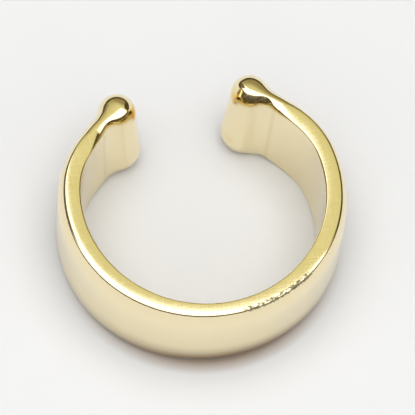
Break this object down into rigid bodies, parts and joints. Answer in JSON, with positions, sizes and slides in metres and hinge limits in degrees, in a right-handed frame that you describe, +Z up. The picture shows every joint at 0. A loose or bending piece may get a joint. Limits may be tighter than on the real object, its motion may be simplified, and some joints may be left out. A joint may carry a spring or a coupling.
{
  "type": "ear cuff",
  "caption": "Plain open ear cuff: a polished C-shaped band, flat inside and softly domed outside, whose two ends swell into rounded beads, lying on its lower rim.",
  "frame": {"origin": "middle of the bounding box on the surface that the lower rim rests on", "axes": "+Z up along the band's width, +Y towards the gap between the two beads, +X to the right of it"},
  "size_m": [0.0124, 0.0116, 0.0048],
  "materials": {
    "polished_gold": "high polish, pale yellow gold plate"
  },
  "bodies": {
    "root": {"cuff": "polished_gold"}
  },
  "joints": []
}
